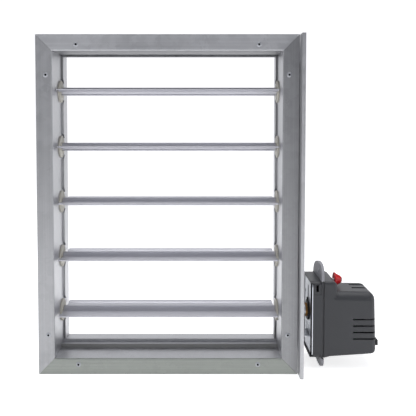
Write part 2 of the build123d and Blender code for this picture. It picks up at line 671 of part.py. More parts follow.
def make_knob():
    # Tapered knob with two finger wings, and the spindle that carries it.
    x0 = ACT_SPLIT + 23.6
    z = DRIVE_Z + KNOB_UP
    cone = Pos(x0 + 1.5, 0, 0) * Rot(0, 90, 0) * Cylinder(KNOB_R, 3.0)
    taper = Cone(KNOB_R, 6.5, 9.0)
    cone += Pos(x0 + 3.0 + 4.5, 0, 0) * Rot(0, 90, 0) * taper
    wing = [(x0 + 2, -KNOB_R), (x0 + 2, KNOB_R), (x0 + 13, 5.5), (x0 + 14.5, 3), (x0 + 14.5, -3)]
    wing.append((x0 + 13, -5.5))
    cone += along_y(wing, -2.2, 2.2)
    cone -= rod(x0 - 1, x0 + 6, SPINDLE_R + PRESS)
    save(Pos(0, 0, z) * cone, "act_knob", RED)
    spindle = rod(x0 - 15, x0 + 6, SPINDLE_R) + rod(x0 - 15, x0 - 14, SPINDLE_R + 0.8)
    save(Pos(0, 0, z) * spindle, "act_spindle", ZINC)


def make_strap():
    # Anti-rotation strap: foot on the side cover, bridge, and tongue into the plate's slots.
    t = 1.5
    z = BRACKET_Z
    foot_x = COVER_X1
    strap = block(foot_x, foot_x + t, -20, 20, z - 8, z + 8)
    strap += block(foot_x, ACT_PLATE_X - 2.0, -20, 20, z + 8, z + 8 + t)
    for sy in (-1, 1):
        y0 = min(sy * 7, sy * 13)
        strap += block(foot_x, ACT_PLATE_X - 0.2, y0, y0 + 6, z + 8, z + 8 + t)
    screws = []
    for y in BRACKET_SCREW_YS:
        strap -= rod(foot_x - 1, foot_x + 3, M5_R + PRESS, y=y, z=z)
        screws.append(pan_screw(foot_x + t, t + COVER_T + 6, y, z))
    save(strap, "anti_rotation_bracket", ZINC)
    save(group(screws), "bracket_screws", ZINC)


GALV = (0.66, 0.67, 0.69)
ALU = (0.78, 0.78, 0.80)
ZINC = (0.74, 0.76, 0.80)
NYLON = (0.82, 0.79, 0.70)
PLASTIC = (0.10, 0.105, 0.11)
DARK = (0.03, 0.03, 0.03)
BRONZE = (0.55, 0.30, 0.08)
BOARD = (0.05, 0.25, 0.10)
RED = (0.65, 0.03, 0.05)

make_frame()
make_corners(-1, "corner_brackets_front")
make_corners(1, "corner_brackets_rear")
make_rivets(-1, "rivets_front")
make_rivets(1, "rivets_rear")
make_sill()
for number, height in enumerate(AXES_Z, start=1):
    make_blade(number, height)
    make_shaft(number, height)
    make_gear(number, height)
make_bushes(-1, "bushes_left")
make_bushes(1, "bushes_right")
make_side_cover()
make_standoffs()
make_act_base()
make_act_plate()
make_act_cover()
make_act_small_parts()
make_act_board()
make_act_screws()
make_knob()
make_strap()
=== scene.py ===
import math

import bmesh
import bpy
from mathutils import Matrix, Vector


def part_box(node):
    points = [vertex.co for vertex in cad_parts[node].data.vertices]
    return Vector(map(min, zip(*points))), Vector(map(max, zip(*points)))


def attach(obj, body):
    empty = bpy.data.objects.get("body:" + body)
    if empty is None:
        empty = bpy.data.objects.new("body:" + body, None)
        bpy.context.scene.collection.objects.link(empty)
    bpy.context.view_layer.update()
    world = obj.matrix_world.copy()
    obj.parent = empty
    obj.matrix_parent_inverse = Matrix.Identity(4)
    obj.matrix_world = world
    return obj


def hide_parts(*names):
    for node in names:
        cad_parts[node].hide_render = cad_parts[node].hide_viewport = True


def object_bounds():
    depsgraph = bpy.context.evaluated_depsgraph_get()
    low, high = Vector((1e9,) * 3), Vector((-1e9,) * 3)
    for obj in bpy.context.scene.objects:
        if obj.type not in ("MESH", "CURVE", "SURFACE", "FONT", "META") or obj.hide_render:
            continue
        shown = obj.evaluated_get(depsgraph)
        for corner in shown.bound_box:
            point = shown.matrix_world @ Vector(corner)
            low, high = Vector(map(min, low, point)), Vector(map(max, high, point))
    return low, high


bl_info = {
    "name": "Volume control damper",
    "version": (1, 0, 0),
    "blender": (4, 5, 0),
    "location": "3D View > Sidebar > Damper",
    "description": "Dresses an opposed-blade duct damper and its rotary actuator",
    "category": "Object",
}

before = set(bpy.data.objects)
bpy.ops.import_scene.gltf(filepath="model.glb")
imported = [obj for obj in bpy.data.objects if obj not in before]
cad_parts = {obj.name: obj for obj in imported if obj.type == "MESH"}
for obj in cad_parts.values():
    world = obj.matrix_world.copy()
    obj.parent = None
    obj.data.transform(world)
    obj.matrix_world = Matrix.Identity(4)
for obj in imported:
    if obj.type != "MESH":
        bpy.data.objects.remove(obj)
CAD_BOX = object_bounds()

MM = 0.001
X = Vector((1, 0, 0))
Y = Vector((0, 1, 0))
Z = Vector((0, 0, 1))
NEAR = 0.01 * MM  # two places closer than this are the same place
ALONG = 0.9  # the least cosine of a direction that runs along an axis
SQUARE = 0.999  # the least cosine of a normal that looks straight along an axis
CLEAR = 5 * MM  # how far a cutting tool stands out of what it cuts
SMOOTH = 35.0  # degrees; shallower edges are shaded smooth
TURNED_SMOOTH = 28.0  # degrees; the same for rivets and screws
DRESSING = "_finish"  # keeps these materials apart from the CAD's own
BLADES = {1: "blade_one", 2: "blade_two", 3: "blade_three", 4: "blade_four", 5: "drive_blade"}


# ---- sizes and colours ----
def length(description, default_mm):
    return bpy.props.FloatProperty(description=description, default=default_mm * MM,
                                   min=0.0, precision=5, subtype="DISTANCE", unit="LENGTH")


def share(description, default):
    return bpy.props.FloatProperty(description=description, default=default, min=0.0, max=1.0)


def colour(description, default):
    return bpy.props.FloatVectorProperty(description=description, default=default, size=3,
                                         min=0.0, max=1.0, subtype="COLOR")


class DamperSizes(bpy.types.PropertyGroup):
    """Sizes that the dressed pieces add to the frame's own."""

    sheet_edge: length("Break on the edges of sheet", 0.15)
    fine_edge: length("Break on channels, strap and indicator", 0.2)
    moulded_edge: length("Break on moulded housings", 0.45)
    turned_edge: length("Break on the hub and its ring", 0.3)
    shaft_edge: length("Break on the shafts' ends", 0.25)
    screw_edge: length("Break on the screws", 0.08)
    knob_edge: length("Round on the knob", 0.5)
    spine_web: length("Web between blade spine and plate", 1.0)
    spine_web_half: length("Half height where web meets spine", 1.3)
    blade_half: length("Half the plate's thickness", 0.9)
    blade_tip: length("Round on the long edges", 0.5)
    bore_depth: length("Open end of the spine round its shaft", 14.0)
    joggle: length("Offset of the lapping edges", 2.0)
    joggle_land: length("Width of the offset edge", 13.0)
    joggle_ramp: length("Slope to the offset edge", 4.0)
    bush_edge: length("Round on the rim", 0.7)
    bush_break: length("Break on the other edges", 0.12)
    bush_rim: length("Rim round the dish", 1.6)
    bush_flange: length("Flange thickness", 3.0)
    bush_collar: length("Radius of the collar round a shaft", 8.5)
    bush_dish: length("Depth of the dish", 0.5)
    mandrel: length("Radius of the open hole in a rivet", 1.7)
    shank: length("Radius of a rivet's shank", 2.0)
    recess: length("Reach of a cross recess from its axis", 2.4)
    recess_half: length("Half width of the recess", 0.5)
    strap_head: length("Head height of the strap's screws", 2.8)
    fold: length("Round on the sill's folds", 0.9)
    sill_sheet: length("Thickness of the sill", 1.2)
    sill_foot: length("Depth of the sill's foot", 10.0)
    shoulder: length("From the joint to the cover's step", 23.0)
    shoulder_bend: share("Where on it the underside starts to rise", 0.48)
    cover_step: share("Height beyond it over full height", 0.859)
    cover_rise: length("Rise of the underside to the far end", 8.0)
    cover_top: length("Radius of the long top edges", 15.0)
    cover_wall: length("Wall thickness", 2.2)
    cover_lean: length("Lean of the far face at its top", 3.0)
    base_round: length("Radius of the base's long edges", 9.0)
    groove: length("Groove between base and cover", 3.0)
    groove_depth: length("Depth of that groove", 1.8)
    pad_depth: length("Depth of the pad round the window", 0.8)
    plate_corner: length("Bevel on the plate's front corners", 6.0)
    grip_drop: length("From the latch down to its grip", 11.5)
    first_vent: length("First vent below the shaft", 5.4)
    vent_step: length("Distance between vents", 11.1)
    vent_half: length("Half the height of a vent", 1.2)
    vent_reach: length("Length of a vent", 40.0)
    top_slot_reach: length("Length of a top slot", 35.0)
    top_slot_half: length("Half the width of a top slot", 3.4)
    knob_hole: length("Radius of the hole behind the knob", 2.7)
    wing_round: length("Bevel on the ends of the knob's wings", 2.5)
    facets: bpy.props.IntProperty(description="Faces round a turned piece", default=48, min=12)


class DamperColours(bpy.types.PropertyGroup):
    """Base colours of the finishes."""

    galvanised: colour("Frame members, side cover and sill", (0.54, 0.545, 0.56))
    aluminium: colour("Blades", (0.68, 0.68, 0.725))
    steel: colour("Shafts", (0.70, 0.70, 0.70))
    zinc: colour("Rivets, screws, plates and straps", (0.70, 0.72, 0.76))
    cream: colour("Bushes", (0.76, 0.73, 0.63))
    gear: colour("Gears", (0.16, 0.16, 0.17))
    housing: colour("Actuator base and cover", (0.061, 0.063, 0.069))
    ear: colour("Ears above and below the actuator", (0.46, 0.46, 0.49))
    black: colour("Indicator and latch", (0.012, 0.012, 0.013))
    # painted shade: the grey of the strip on the sill's riser
    rubber: colour("Strip on the sill", (0.34, 0.34, 0.33))
    bronze: colour("Ring and pinion", (0.48, 0.26, 0.10))
    board: colour("Circuit board", (0.02, 0.15, 0.06))
    red: colour("Release knob", (0.70, 0.012, 0.018))
    floor: colour("Floor and backdrop", (0.92, 0.92, 0.92))


def sizes():
    return bpy.context.scene.damper_sizes


def colours():
    return bpy.context.scene.damper_colours


# ---- working in object and edit mode ----
def select_nothing():
    active = bpy.context.view_layer.objects.active
    if active is not None and active.mode != "OBJECT":
        bpy.ops.object.mode_set(mode="OBJECT")
    bpy.ops.object.select_all(action="DESELECT")


def activate(*pieces):
    """Select these pieces alone, the first of them active."""
    select_nothing()
    for piece in pieces:
        piece.select_set(True)
    bpy.context.view_layer.objects.active = pieces[0]


def edit(piece):
    activate(piece)
    bpy.ops.object.mode_set(mode="EDIT")


def leave():
    bpy.ops.object.mode_set(mode="OBJECT")


def pick(piece, kind, test):
    """Select the faces or edges that pass the test; finding none is an error."""
    bpy.ops.mesh.select_mode(type=kind)
    bpy.ops.mesh.select_all(action="DESELECT")
    mesh = bmesh.from_edit_mesh(piece.data)
    found = [item for item in (mesh.faces if kind == "FACE" else mesh.edges) if test(item)]
    for item in found:
        item.select_set(True)
    bmesh.update_edit_mesh(piece.data)
    if not found:
        raise RuntimeError(piece.name + ": no " + kind.lower() + " where one was expected")


def pick_faces(piece, test):
    """Select the faces whose middle and normal pass the test."""
    pick(piece, "FACE", lambda face: test(face.calc_center_median(), face.normal))


def pick_edges(piece, test):
    """Select the edges whose middle and direction pass the test."""
    def passes(edge):
        first, second = (vertex.co for vertex in edge.verts)
        return test((first + second) / 2, (second - first).normalized())

    pick(piece, "EDGE", passes)


def extrude(move):
    bpy.ops.mesh.extrude_region_move(TRANSFORM_OT_translate={"value": move})


def resize(factors, centre):
    bpy.ops.transform.resize(value=factors, center_override=centre)


def shift(move):
    bpy.ops.transform.translate(value=move)


def bevel(width, segments):
    bpy.ops.mesh.bevel(offset=width, segments=segments, affect="EDGES")


def merge(reach=0.001 * MM):
    """Select everything and merge the points that lie within reach of each other."""
    bpy.ops.mesh.select_all(action="SELECT")
    bpy.ops.mesh.remove_doubles(threshold=reach)


def end_face(axis):
    """A test for the flat face that looks along the axis."""
    return lambda middle, normal: normal.dot(axis) > SQUARE


def span(points):
    """The lowest and the highest corner round some points."""
    low = Vector([min(point[i] for point in points) for i in range(3)])
    high = Vector([max(point[i] for point in points) for i in range(3)])
    return low, high


def corners(piece):
    return span([vertex.co for vertex in piece.data.vertices])


def placed(name, data):
    """A new object in the scene."""
    piece = bpy.data.objects.new(name, data)
    bpy.context.scene.collection.objects.link(piece)
    return piece


def settle(piece, name):
    """Put the piece's place into its mesh and name it."""
    activate(piece)
    bpy.ops.object.transform_apply(location=True, rotation=True, scale=True)
    piece.name = name
    piece.data.name = name
    return piece


def bar(name, centre, axis, radius, depth):
    """A round bar along an axis, faceted as the turned pieces are."""
    select_nothing()
    turn = axis.to_track_quat("Z", "Y").to_euler()
    bpy.ops.mesh.primitive_cylinder_add(vertices=sizes().facets, radius=radius, depth=depth,
                                        location=centre, rotation=turn)
    return settle(bpy.context.object, name)


def slab(name, low, high):
    """A block between two corners."""
    low, high = Vector(low), Vector(high)
    select_nothing()
    bpy.ops.mesh.primitive_cube_add(size=1.0, location=(low + high) / 2)
    piece = bpy.context.object
    piece.scale = high - low
    return settle(piece, name)


def sheet(name, middle, wide, deep):
    """A level rectangle round its middle."""
    select_nothing()
    bpy.ops.mesh.primitive_plane_add(size=1.0, location=middle)
    piece = bpy.context.object
    piece.scale = (wide, deep, 1.0)
    return settle(piece, name)


def draw_out(axis, centre, radius, steps):
    """Carry the selected end face through (distance, radius) steps, as on a lathe."""
    place = centre.copy()
    for distance, new_radius in steps:
        extrude(axis * distance)
        place += axis * distance
        factor = new_radius / radius
        resize([1.0 if abs(part) > 0.5 else factor for part in axis], place)
        radius = new_radius


def turned(name, centre, axis, radius, depth, ahead, behind=()):
    """A turned piece: a bar whose two ends are drawn out or in by steps."""
    piece = bar(name, centre, axis, radius, depth)
    edit(piece)
    for direction, steps in ((axis, ahead), (-axis, behind)):
        if steps:
            pick_faces(piece, end_face(direction))
            draw_out(direction, centre + direction * depth / 2, radius, steps)
    leave()
    return piece


def apply_modifier(piece, kind, **settings):
    activate(piece)
    modifier = piece.modifiers.new(kind.title(), kind)
    for key, value in settings.items():
        setattr(modifier, key, value)
    bpy.ops.object.modifier_apply(modifier=modifier.name)


def cut(piece, tool, operation="DIFFERENCE"):
    apply_modifier(piece, "BOOLEAN", object=tool, operation=operation, solver="EXACT")
    bpy.data.objects.remove(tool)


def break_edges(piece, width, angle=30.0, segments=2):
    apply_modifier(piece, "BEVEL", width=width, segments=segments, limit_method="ANGLE",
                   angle_limit=math.radians(angle), use_clamp_overlap=False,
                   miter_outer="MITER_ARC", material=-1)


def shade_flat_faces(piece, smooth=SMOOTH):
    """Smooth the shallow edges and let the large flat faces keep their own normals."""
    activate(piece)
    bpy.ops.object.shade_smooth_by_angle(angle=math.radians(smooth))
    apply_modifier(piece, "WEIGHTED_NORMAL", mode="FACE_AREA", weight=90, keep_sharp=True)


def tidy(piece, smooth=SMOOTH):
    """Merge doubles, turn the faces outwards and shade the shallow edges smooth."""
    edit(piece)
    merge()
    bpy.ops.mesh.normals_make_consistent(inside=False)
    leave()
    shade_flat_faces(piece, smooth)
    return piece


def copy_to(master, name, move):
    """A copy with its own mesh, moved in its mesh."""
    piece = placed(name, master.data.copy())
    piece.location = move
    return settle(piece, name)


def joined(pieces, name):
    activate(*pieces)
    if len(pieces) > 1:
        bpy.ops.object.join()
    return settle(bpy.context.view_layer.objects.active, name)


# ---- what comes from the CAD nodes ----
def node_copy(node, name):
    """A merged copy of a CAD node's mesh, its flat faces whole again."""
    piece = placed(name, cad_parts[node].data.copy())
    edit(piece)
    merge()
    bpy.ops.mesh.dissolve_limited(angle_limit=math.radians(0.4))
    leave()
    return piece


def solids_of(node):
    """The lowest and highest corner of each separate solid in a CAD node."""
    scratch = node_copy(node, "scratch")
    edit(scratch)
    bpy.ops.mesh.select_all(action="SELECT")
    bpy.ops.mesh.separate(type="LOOSE")
    leave()
    found = []
    for part in list(bpy.context.selected_objects):
        found.append(corners(part))
        bpy.data.objects.remove(part)
    return sorted(found, key=lambda pair: tuple(round(value, 5) for value in pair[0]))


def repeated(node, name, model):
    """One modelled piece set at each solid of a CAD node, and where those solids lie."""
    found = solids_of(node)
    master = model(name + "_master", *found[0])
    copies = [copy_to(master, name, place[0] - found[0][0]) for place in found]
    bpy.data.objects.remove(master)
    return joined(copies, name), found


def hand_over(piece, body, slot, *nodes, look=None):
    """Give the piece its finish, its body and the CAD nodes that it stands for."""
    piece.data.materials.clear()
    piece.data.materials.append(finish(look or slot))
    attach(piece, body)
    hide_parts(*nodes)


def dressed(node, name, body, slot, edge, look=None):
    """A copy of a CAD node with broken edges, which stands for the node."""
    piece = node_copy(node, name)
    break_edges(piece, edge)
    shade_flat_faces(piece)
    hand_over(piece, body, slot, node, look=look)


def carried(look, *nodes):
    """CAD nodes that stay, with a finish of their own."""
    for node in nodes:
        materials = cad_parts[node].data.materials
        if not materials:
            materials.append(None)
        for index in range(len(materials)):
            materials[index] = finish(look)


def second_finish(piece, look, test):
    """Give the faces whose middle and normal pass the test another finish."""
    piece.data.materials.append(finish(look))
    for face in piece.data.polygons:
        if test(face.center, face.normal):
            face.material_index = 1


# ---- finishes ----
class Wire:
    """An output socket; arithmetic on it adds Math nodes to its tree."""

    def __init__(self, tree, socket):
        self.tree = tree
        self.socket = socket

    def node(self, kind, settings=None, inputs=None, out=0):
        """Any other node, with its settings and its inputs by name or number."""
        made = self.tree.nodes.new(kind)
        for key, value in (settings or {}).items():
            setattr(made, key, value)
        for key, value in (inputs or {}).items():
            if isinstance(value, Wire):
                self.tree.links.new(value.socket, made.inputs[key])
            else:
                made.inputs[key].default_value = value
        return Wire(self.tree, made.outputs[out])

    def math(self, operation, first, second):
        return self.node("ShaderNodeMath", {"operation": operation}, {0: first, 1: second})

    def __add__(self, other):
        return self.math("ADD", self, other)

    def __radd__(self, other):
        return self.math("ADD", other, self)

    def __sub__(self, other):
        return self.math("SUBTRACT", self, other)

    def __rsub__(self, other):
        return self.math("SUBTRACT", other, self)

    def __mul__(self, other):
        return self.math("MULTIPLY", self, other)

    def __rmul__(self, other):
        return self.math("MULTIPLY", other, self)


def noise(place, scale, detail=2.0, roughness=0.5):
    return place.node("ShaderNodeTexNoise", None,
                      {"Vector": place, "Scale": scale, "Detail": detail,
                       "Roughness": roughness})


def streaky(place, factors, detail, roughness=0.5):
    """Noise whose scale differs along the three axes."""
    drawn = place.node("ShaderNodeMapping", None, {"Vector": place, "Scale": factors})
    return noise(drawn, 1.0, detail, roughness)


def cells(place, scale, wobble):
    """A random grey for each cell of a crystal pattern."""
    warp = place.node("ShaderNodeTexNoise", None, {"Vector": place, "Scale": scale * 1.7}, 1)
    moved = place.node("ShaderNodeMix", {"data_type": "VECTOR"},
                       {"Factor": wobble, 4: place, 5: warp}, 1)
    tinted = place.node("ShaderNodeTexVoronoi", None, {"Vector": moved, "Scale": scale}, 1)
    return place.node("ShaderNodeRGBToBW", None, {"Color": tinted})


def between(value, low, high):
    """The value's place between two limits, from 0 to 1."""
    return value.node("ShaderNodeMapRange", {"clamp": True},
                      {"Value": value, "From Min": low, "From Max": high})


def mixed(factor, first, second):
    settings = {"data_type": "RGBA", "clamp_factor": True}
    return factor.node("ShaderNodeMix", settings, {0: factor, 6: first, 7: second}, 2)


def shade(base, factor):
    return (base[0] * factor, base[1] * factor, base[2] * factor, 1.0)


def empty_tree(owner, output):
    """The owner's shader tree with nothing but an output, and the output's socket."""
    owner.use_nodes = True
    tree = owner.node_tree
    tree.nodes.clear()
    return tree, tree.nodes.new(output).inputs[0]


class Finish:
    """A material in the making: its shader, its tree and the object's coordinates."""

    def __init__(self, name, base, constants):
        self.base = base
        self.material = bpy.data.materials.new(name + DRESSING)
        self.material.diffuse_color = shade(base, 1.0)
        self.tree, self.surface = empty_tree(self.material, "ShaderNodeOutputMaterial")
        self.shader = self.tree.nodes.new("ShaderNodeBsdfPrincipled")
        self.tree.links.new(self.shader.outputs[0], self.surface)
        for key, value in constants.items():
            self.shader.inputs[key].default_value = value
        coordinates = self.tree.nodes.new("ShaderNodeTexCoord")
        self.place = Wire(self.tree, coordinates.outputs["Object"])

    def feed(self, socket, wire):
        self.tree.links.new(wire.socket, self.shader.inputs[socket])

    def tint(self, tone, dark, light):
        """The base colour between a darker and a lighter shade of it, by the tone."""
        return mixed(tone, shade(self.base, dark), shade(self.base, light))

    def paint(self, colour_wire, wear=None, worn=1.0):
        """Set the base colour, with a worn shade laid over it where there is wear."""
        if wear is not None:
            colour_wire = mixed(wear, colour_wire, shade(self.base, worn))
        self.feed("Base Color", colour_wire)

    def bump(self, height, strength, depth_mm):
        normal = height.node("ShaderNodeBump", None, {"Height": height, "Strength": strength,
                                                      "Distance": depth_mm * MM})
        self.feed("Normal", normal)


def galvanised(name, base, grain, rough=0.36):
    """Zinc-dipped sheet: faint crystals, rolling streaks along the grain, clouds and rubs."""
    made = Finish(name, base, {"Metallic": 0.85, "Specular IOR Level": 0.5})
    crystals = cells(made.place, 85.0, 0.02)
    clouds = noise(made.place, 5.0, 3.0)
    streaks = streaky(made.place, grain, 3.0, 0.6)
    rubs = between(streaky(made.place, (14.0, 14.0, 14.0), 5.0, 0.7), 0.60, 0.72)
    tone = 0.34 * crystals + 0.75 * clouds + 0.8 * streaks - 0.45
    made.paint(made.tint(tone, 0.80, 1.16), rubs * 0.35, 0.72)
    made.feed("Roughness", rough + 0.10 * crystals + 0.10 * clouds + 0.06 * rubs)
    made.bump(0.6 * streaks + 0.4 * crystals, 0.25, 0.08)


def drawn_aluminium(name, base):
    """Extruded aluminium: die lines along the blade, dull clouds and thin stains."""
    made = Finish(name, base, {"Metallic": 0.88})
    lines = streaky(made.place, (2.0, 900.0, 900.0), 2.0, 0.6)
    clouds = streaky(made.place, (9.0, 30.0, 30.0), 3.0)
    made.paint(made.tint(0.7 * lines + 0.6 * clouds - 0.15, 0.84, 1.08))
    made.feed("Roughness", 0.36 + 0.14 * clouds + 0.08 * lines)
    made.bump(lines, 0.20, 0.06)


def plated(name, base, rough, stretch=(60.0, 60.0, 60.0)):
    """Bright plate on steel: fine tool marks, cloudy lustre and tarnish in spots."""
    made = Finish(name, base, {"Metallic": 1.0})
    marks = streaky(made.place, stretch, 3.0, 0.6)
    clouds = noise(made.place, 45.0, 3.0)
    tarnish = between(noise(made.place, 160.0, 4.0, 0.7), 0.58, 0.74)
    made.paint(made.tint(0.5 * marks + 0.5 * clouds, 0.82, 1.12), tarnish * 0.4, 0.6)
    made.feed("Roughness", rough + 0.12 * clouds + 0.08 * marks)
    made.bump(marks, 0.15, 0.05)


def moulded(name, base, rough, grain, depth_mm, wear=0.5):
    """Moulded plastic: spark-eroded grain, slow flow clouds and faint handling marks."""
    made = Finish(name, base, {"Specular IOR Level": 0.45})
    fine = noise(made.place, grain, 3.0, 0.6)
    clouds = noise(made.place, 14.0, 3.0)
    marks = between(streaky(made.place, (60.0, 25.0, 60.0), 5.0, 0.75), 0.6, 0.75)
    made.paint(made.tint(0.45 * fine + 0.55 * clouds, 0.86, 1.14), marks * wear * 0.3, 1.5)
    made.feed("Roughness", rough + 0.10 * clouds + 0.06 * fine - 0.05 * marks)
    made.bump(fine, 0.35, depth_mm)


def circuit_board(name, base):
    """Glass-fibre board: weave under the lacquer and lighter copper runs."""
    made = Finish(name, base, {"Coat Weight": 0.4, "Coat Roughness": 0.2})
    weave = streaky(made.place, (1200.0, 400.0, 1200.0), 1.0)
    runs = between(streaky(made.place, (1.0, 90.0, 260.0), 0.0), 0.52, 0.55)
    made.paint(made.tint(weave, 0.85, 1.2), runs * 0.5, 1.8)
    made.feed("Roughness", 0.34 + 0.1 * weave)
    made.bump(runs, 0.2, 0.04)


class DAMPER_OT_finishes(bpy.types.Operator):
    """Make the finishes of all the pieces."""

    bl_idname = "damper.finishes"
    bl_label = "Finishes"

    def execute(self, context):
        tone = colours()
        base = tone.galvanised
        across, upright = (3.0, 500.0, 500.0), (500.0, 500.0, 3.0)
        galvanised("galvanised_across", base, across)
        galvanised("galvanised_upright", base, upright)
        # painted light: each channel side gets a lit or shaded copy of the one zinc; the top is
        # painted lighter, left and right are painted darker, and the bottom is painted darker
        # with a painted greenish reflection tint
        galvanised("galvanised_top", shade(base, 1.12), across)
        galvanised("galvanised_bottom", (base[0] * 0.63, base[1] * 0.66, base[2] * 0.60), across)
        galvanised("galvanised_left", shade(base, 0.84), upright)
        galvanised("galvanised_right", shade(base, 0.66), upright)
        # painted light: the faces inside the duct, painted lighter on the walls and floor, and
        # painted darker as painted shade on the ceiling, which is also rougher
        galvanised("galvanised_painted_lit", shade(base, 1.10), upright, 0.30)
        galvanised("galvanised_painted_shade", shade(base, 0.74), across, 0.42)
        # painted shade: the open hole in each rivet head, near black
        plated("rivet_hole_painted_shade", (0.02, 0.02, 0.02), 0.6)
        drawn_aluminium("blade_aluminium", tone.aluminium)
        plated("plated_steel", tone.steel, 0.26, (900.0, 90.0, 90.0))
        plated("zinc_plate", tone.zinc, 0.24)
        plated("rivet_shell", shade(tone.zinc, 0.68), 0.42)
        plated("bronze", tone.bronze, 0.36, (400.0, 400.0, 400.0))
        moulded("cream_nylon", tone.cream, 0.42, 1500.0, 0.02)
        moulded("gear_nylon", tone.gear, 0.48, 1500.0, 0.02)
        moulded("grey_plastic", tone.housing, 0.34, 1900.0, 0.03)
        moulded("ear_lighter_grey", tone.ear, 0.46, 1900.0, 0.03)
        moulded("black_plastic", tone.black, 0.45, 1900.0, 0.02)
        # painted shade: the dark grey strip on the sill's riser
        moulded("seal_rubber", tone.rubber, 0.72, 700.0, 0.05, 0.2)
        moulded("red_plastic", tone.red, 0.26, 900.0, 0.01, 0.1)
        circuit_board("board", tone.board)
        return {"FINISHED"}


def finish(name):
    return bpy.data.materials[name + DRESSING]


# ---- the frame ----
def model_channel(side, inward, inside_painted_light):
    """A mitred channel with broken flange edges; its zinc is a copy painted lighter or darker for
    its side, and its faces inside the duct carry painted light (painted shade on the ceiling).
    """
    node = "frame_" + side
    piece = node_copy(node, side + "_channel")
    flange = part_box(node)[1].y
    edit(piece)
    pick_edges(piece, lambda middle, along: abs(abs(middle.y) - flange) < NEAR)
    bevel(sizes().fine_edge, 2)
    leave()
    shade_flat_faces(piece)
    # the outer faces take the zinc shade painted for this side
    hand_over(piece, "frame", "galvanised", node, look="galvanised_" + side)
    second_finish(piece, inside_painted_light, lambda middle, normal: normal.dot(inward) > ALONG)


class DAMPER_OT_frame_members(bpy.types.Operator):
    """Dress the four mitred channels, the cover over the gears and the corner plates."""

    bl_idname = "damper.frame_members"
    bl_label = "Frame members"

    def execute(self, context):
        edge = sizes().sheet_edge
        # the inside faces of the duct are painted lit, and the ceiling is in painted shade
        for side, inward, inside_painted_light in (("top", -Z, "galvanised_painted_shade"),
                                     ("bottom", Z, "galvanised_painted_lit"),
                                     ("left", X, "galvanised_painted_lit"),
                                     ("right", -X, "galvanised_painted_lit")):
            model_channel(side, inward, inside_painted_light)
        dressed("side_cover", "gear_cover", "frame", "galvanised", edge, "galvanised_upright")
        for side in ("front", "rear"):
            dressed("corner_brackets_" + side, "corner_plates_" + side, "frame", "zinc_plate",
                    edge)
        carried("zinc_plate", "cover_standoffs")
        return {"FINISHED"}


def model_rivet(name, low, high, axis, face):
    """A pop rivet: domed head with its open hole ahead of the face, shank and bulb behind."""
    size = sizes()
    along = max(range(3), key=lambda i: abs(axis[i]))
    top, tail = (low, high) if axis[along] < 0 else (high, low)
    height = abs(top[along] - face)
    reach = abs(tail[along] - face)
    radius = (high.x - low.x) / 2
    rim = height * 0.24
    centre = (low + high) / 2
    centre[along] = face + axis[along] * rim / 2
    hole, shank = size.mandrel, size.shank
    dome = [(height * 0.40, radius * 0.86), (height * 0.26, radius * 0.64),
            (height * 0.08, hole * 1.18), (0.0, hole),
            (-height * 1.20, hole * 0.92), (height * 0.20, hole * 0.50)]
    bulb = [(0.0, shank), (reach * 0.50, shank), (0.0, shank * 1.45),
            (reach * 0.34, shank * 1.35), (reach * 0.12, shank * 0.7)]
    return tidy(turned(name, centre, axis, radius, rim, dome, bulb), TURNED_SMOOTH)


def rivet_row(node, name, axis, face):
    """Rivets at the node's solids; the hole in each head is painted near black as painted shade.
    """
    rivets, found = repeated(node, name, lambda *place: model_rivet(*place, axis, face))
    hand_over(rivets, "frame", "zinc_plate", node, look="rivet_shell")
    flat = Vector([0.0 if abs(part) > 0.5 else 1.0 for part in axis])
    holes = [(low + high) / 2 * flat for low, high in found]
    reach = sizes().mandrel * 1.01
    # the faces in the hole take the painted shade
    second_finish(rivets, "rivet_hole_painted_shade", lambda middle, normal: min(
        (middle * flat - hole).length for hole in holes) < reach)


class DAMPER_OT_rivets(bpy.types.Operator):
    """Model a pop rivet and set it in both flanges and under the sill."""

    bl_idname = "damper.rivets"
    bl_label = "Rivets"

    def execute(self, context):
        front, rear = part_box("frame_top")[0].y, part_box("frame_top")[1].y
        frame_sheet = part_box("corner_brackets_front")[0].y - front
        rivet_row("rivets_front", "front_rivets", -Y, front)
        rivet_row("rivets_rear", "rear_rivets", Y, rear)
        rivet_row("sill_rivets", "floor_rivets", -Z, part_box("sill")[0].z - frame_sheet)
        return {"FINISHED"}


def model_screw(name, low, high, axis, head):
    """A pan-head screw with a cross recess; the head's height is given."""
    size = sizes()
    radius = (high.z - low.z) / 2
    top = high.x if axis.x > 0 else low.x
    behind = (high.x - low.x) - head
    centre = (low + high) / 2
    centre.x = top - axis.x * head * 0.70
    crown = [(head * 0.22, radius * 0.96), (head * 0.13, radius * 0.84),
             (head * 0.05, radius * 0.62)]
    shank = [(0.0, radius * 0.52), (behind * 0.93, radius * 0.52), (behind * 0.07, radius * 0.36)]
    screw = turned(name, centre, axis, radius, head * 0.60, crown, shank)
    centre.x = top
    for arm, side in ((Y, Z), (Z, Y)):
        half = arm * size.recess + side * size.recess_half + X * abs(head) * 0.55
        cut(screw, slab("recess", centre - half, centre + half))
    break_edges(screw, size.screw_edge)
    return tidy(screw, TURNED_SMOOTH)


class DAMPER_OT_screws(bpy.types.Operator):
    """Model the pan-head screws of the gear cover, the strap and the actuator plate."""

    bl_idname = "damper.screws"
    bl_label = "Screws"

    def execute(self, context):
        cover_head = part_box("cover_screws")[1].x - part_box("side_cover")[1].x
        plate_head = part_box("act_plate")[0].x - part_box("act_screws")[0].x
        for node, name, axis, head in (
                ("cover_screws", "gear_cover_screws", X, cover_head),
                ("bracket_screws", "strap_screws", X, sizes().strap_head),
                ("act_screws", "actuator_screws", -X, plate_head)):
            screws = repeated(node, name, lambda *place: model_screw(*place, axis, head))[0]
            hand_over(screws, "frame", "zinc_plate", node)
        return {"FINISHED"}


